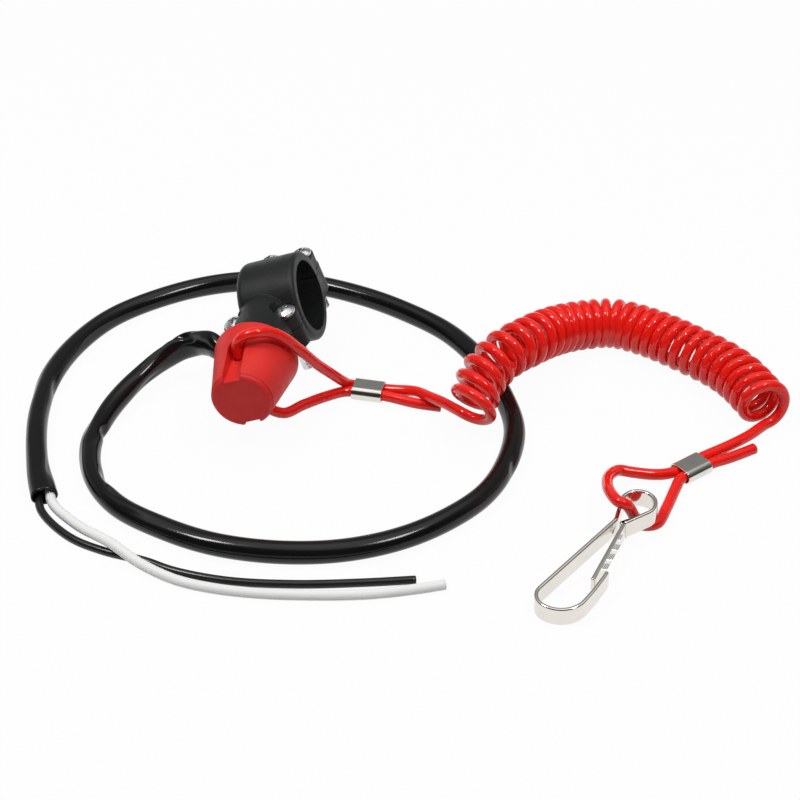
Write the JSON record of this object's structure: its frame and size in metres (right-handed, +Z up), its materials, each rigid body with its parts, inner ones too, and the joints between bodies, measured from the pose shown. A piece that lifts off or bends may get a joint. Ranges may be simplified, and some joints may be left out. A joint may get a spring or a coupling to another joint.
{
  "type": "tether engine kill switch",
  "caption": "Handlebar-clamp engine kill switch: split housing, sprung plunger held in by a red pull-off cap on a coiled wrist lanyard with snap hook, and a sleeved cable.",
  "frame": {"origin": "on the surface that the switch lies on, under the middle of the switch without its cable and lanyard", "axes": "-Y is the plunger's axis and the way the cap pulls off, +X is to the right along the handlebar, +Z is up; the switch lies rolled 19.5 degrees about Y, resting on a screw end"},
  "size_m": [0.2282, 0.1547, 0.0347],
  "materials": {
    "housing_plastic": "black glass-filled moulded plastic with a fine grain",
    "zinc_steel": "bright zinc-plated steel",
    "carrier_plastic": "brown insulating plastic",
    "contact_brass": "plain sheet brass",
    "plunger_plastic": "natural acetal",
    "spring_steel": "drawn spring wire",
    "cap_plastic": "red moulded plastic, satin",
    "lanyard_cord": "bright red glossy urethane cord",
    "ferrule_nickel": "nickel-plated crimp sleeve",
    "hook_nickel": "polished nickel-plated steel strip",
    "sleeve_vinyl": "soft black vinyl sleeve with a low gloss",
    "wire_white": "white wire insulation",
    "wire_black": "black wire insulation"
  },
  "bodies": {
    "housing": {"housing_upper": "housing_plastic", "housing_lower": "housing_plastic", "clamp_screws": "zinc_steel", "contact_carrier": "carrier_plastic", "contact_strip_upper": "contact_brass", "contact_strip_lower": "contact_brass", "lead_white": "wire_white", "lead_black": "wire_black", "return_spring": "spring_steel", "cable_sleeve": "sleeve_vinyl", "wire_white": "wire_white", "wire_black": "wire_black"},
    "plunger": {"plunger": "plunger_plastic", "contact_bridge": "contact_brass"},
    "cap_and_lanyard": {"tether_cap": "cap_plastic", "lanyard_cap_loop": "lanyard_cord", "lanyard_coil": "lanyard_cord", "lanyard_hook_loop": "lanyard_cord", "ferrule_cap_end": "ferrule_nickel", "ferrule_hook_end": "ferrule_nickel"},
    "hook": {"snap_hook": "hook_nickel"},
    "gate": {"hook_gate": "hook_nickel"}
  },
  "joints": [
    {"name": "cap_pull", "type": "slide", "parent": "housing", "child": "cap_and_lanyard", "axis": [0, -1, 0], "range_m": [0, 0.008]},
    {"name": "plunger_travel", "type": "slide", "parent": "housing", "child": "plunger", "axis": [0, -1, 0], "range_m": [0, 0.004]},
    {"name": "hook_swing", "type": "hinge", "parent": "cap_and_lanyard", "child": "hook", "pos_m": [0.11345, -0.06038, 0.00638], "axis": [-0.0317, -0.0699, 0.9971], "range_deg": [-25, 20]},
    {"name": "gate_hinge", "type": "hinge", "parent": "hook", "child": "gate", "pos_m": [0.11013, -0.06714, 0.0058], "axis": [-0.0317, -0.0699, 0.9971], "range_deg": [-14, 0], "stiffness_Nm_per_rad": 0.05, "springref_deg": 5.73}
  ],
  "couplings": [
    {"joint": "plunger_travel", "follows": "cap_pull", "ratio": 0.5}
  ]
}
